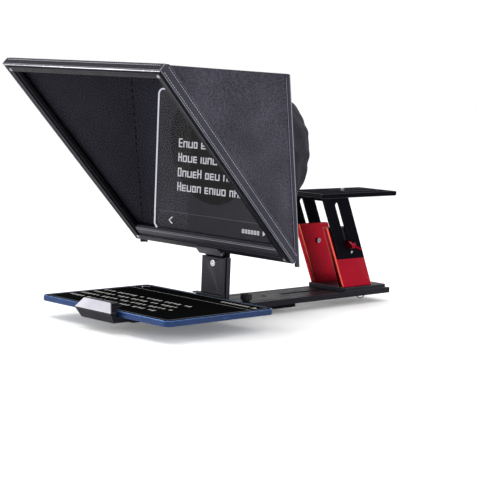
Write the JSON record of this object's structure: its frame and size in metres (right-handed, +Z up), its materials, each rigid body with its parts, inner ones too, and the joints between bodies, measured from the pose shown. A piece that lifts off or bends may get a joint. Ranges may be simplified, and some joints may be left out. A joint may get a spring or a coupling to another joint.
{
  "type": "teleprompter",
  "caption": "Beam-splitter teleprompter: tilted half-mirror glass in a hooded frame over a clamped tablet, with a lens sleeve and a red camera riser on a slotted rail.",
  "frame": {"origin": "centre of the tripod face under the mounting plate, straight below the glass frame's lower front edge", "axes": "+X is the presenter's left to right as seen from the presenter, +Y runs from the presenter to the camera along the rail, +Z is up"},
  "size_m": [0.343, 0.6621, 0.3844],
  "materials": {
    "black_anodised": "satin black anodised",
    "red_anodised": "satin red anodised",
    "black_plastic": "fine matte moulded",
    "grey_plastic": "matte light grey",
    "rubber": "matte",
    "steel": "bright zinc",
    "mirror_glass": "half-mirror coated, polished",
    "hood_fabric": "woven dark grey nylon",
    "webbing": "ribbed black webbing",
    "blue_aluminium": "satin blue anodised",
    "screen_glass": "polished black glass"
  },
  "bodies": {
    "base": {"base_rail": "black_anodised", "mounting_plate": "black_anodised", "rail_pad_left": "rubber", "rail_pad_right": "rubber", "rear_jaw": "black_plastic", "post": "black_anodised"},
    "rail_clamp": {"rail_knob": "black_plastic"},
    "post_clamp": {"post_bolt": "steel", "post_knob": "red_anodised"},
    "neck": {"neck_bracket": "black_anodised", "tilt_pin": "steel"},
    "glass_frame": {"frame_bottom": "black_plastic", "frame_top": "black_plastic", "frame_left": "black_plastic", "frame_right": "black_plastic", "frame_sill": "black_plastic", "frame_screw_bottom_left": "steel", "frame_screw_bottom_right": "steel", "frame_screw_top_left": "steel", "frame_screw_top_right": "steel", "beam_splitter_glass": "mirror_glass", "glass_gasket": "rubber", "hinge_leaf": "black_anodised", "band_left": "webbing", "band_right": "webbing", "band_top": "webbing", "hood_left": "hood_fabric", "hood_right": "hood_fabric", "hood_top": "hood_fabric"},
    "hood_rear": {"hood_back": "hood_fabric", "lens_sleeve": "hood_fabric", "sleeve_hem": "webbing"},
    "jaw": {"jaw_arm": "black_plastic", "jaw_face": "grey_plastic", "jaw_liner": "rubber"},
    "tablet": {"tablet_case": "blue_aluminium", "tablet_screen": "screen_glass"},
    "tablet_button": {"tablet_key": "blue_aluminium"},
    "riser": {"riser_plate": "black_anodised", "upright_left": "red_anodised", "upright_right": "red_anodised", "friction_shim_left": "black_plastic", "friction_shim_right": "black_plastic"},
    "riser_lock": {"lock_screw": "steel"},
    "riser_ring": {"lock_ring": "steel"},
    "camera_table": {"slider_left": "black_anodised", "slider_right": "black_anodised", "camera_plate": "black_anodised", "guide_screw_left": "steel", "guide_screw_right": "steel"},
    "clamp_left": {"clamp_bolt_left": "steel", "clamp_wing_left": "red_anodised"},
    "clamp_right": {"clamp_bolt_right": "steel", "clamp_wing_right": "red_anodised"},
    "camera_bolt": {"camera_screw": "steel"}
  },
  "joints": [
    {"name": "rail_knob_turn", "type": "hinge", "parent": "base", "child": "rail_clamp", "pos_m": [0.024, 0.058, 0.02], "axis": [0, 0, 1], "continuous": true},
    {"name": "post_knob_turn", "type": "hinge", "parent": "base", "child": "post_clamp", "pos_m": [0, 0.0145, 0.074], "axis": [0, 1, 0], "continuous": true},
    {"name": "neck_lift", "type": "slide", "parent": "base", "child": "neck", "axis": [0, 0, 1], "range_m": [0, 0.03]},
    {"name": "frame_tilt", "type": "hinge", "parent": "neck", "child": "glass_frame", "pos_m": [0, 0.01, 0.09], "axis": [1, 0, 0], "range_deg": [-3, 38]},
    {"name": "hood_fold", "type": "hinge", "parent": "glass_frame", "child": "hood_rear", "pos_m": [0, 0.0122, 0.107], "axis": [1, 0, 0], "range_deg": [0, 26], "deforming": ["hood_left", "hood_right", "hood_top"]},
    {"name": "jaw_slide", "type": "slide", "parent": "base", "child": "jaw", "axis": [0, -1, 0], "range_m": [0, 0.045]},
    {"name": "tablet_slide", "type": "slide", "parent": "base", "child": "tablet", "axis": [1, 0, 0], "range_m": [0, 0.3]},
    {"name": "tablet_key_press", "type": "slide", "parent": "tablet", "child": "tablet_button", "axis": [-1, 0, 0], "range_m": [0, 0.0005], "stiffness_N_per_m": 1200},
    {"name": "riser_slide", "type": "slide", "parent": "base", "child": "riser", "axis": [0, 1, 0], "range_m": [-0.036, 0.01]},
    {"name": "riser_lock_turn", "type": "hinge", "parent": "riser", "child": "riser_lock", "pos_m": [0, 0.358, 0.003], "axis": [0, 0, 1], "continuous": true},
    {"name": "lock_ring_fold", "type": "hinge", "parent": "riser_lock", "child": "riser_ring", "pos_m": [0, 0.358, 0.0022], "axis": [1, 0, 0], "range_deg": [-80, 80]},
    {"name": "camera_height", "type": "slide", "parent": "riser", "child": "camera_table", "axis": [0, -0.4291, 0.9033], "range_m": [-0.048, 0.002]},
    {"name": "clamp_left_turn", "type": "hinge", "parent": "riser", "child": "clamp_left", "pos_m": [-0.038, 0.2736, 0.0925], "axis": [1, 0, 0], "continuous": true},
    {"name": "clamp_right_turn", "type": "hinge", "parent": "riser", "child": "clamp_right", "pos_m": [0.038, 0.2736, 0.0925], "axis": [1, 0, 0], "continuous": true},
    {"name": "camera_screw_turn", "type": "hinge", "parent": "camera_table", "child": "camera_bolt", "pos_m": [0, 0.3, 0.1695], "axis": [0, 0, 1], "continuous": true}
  ]
}
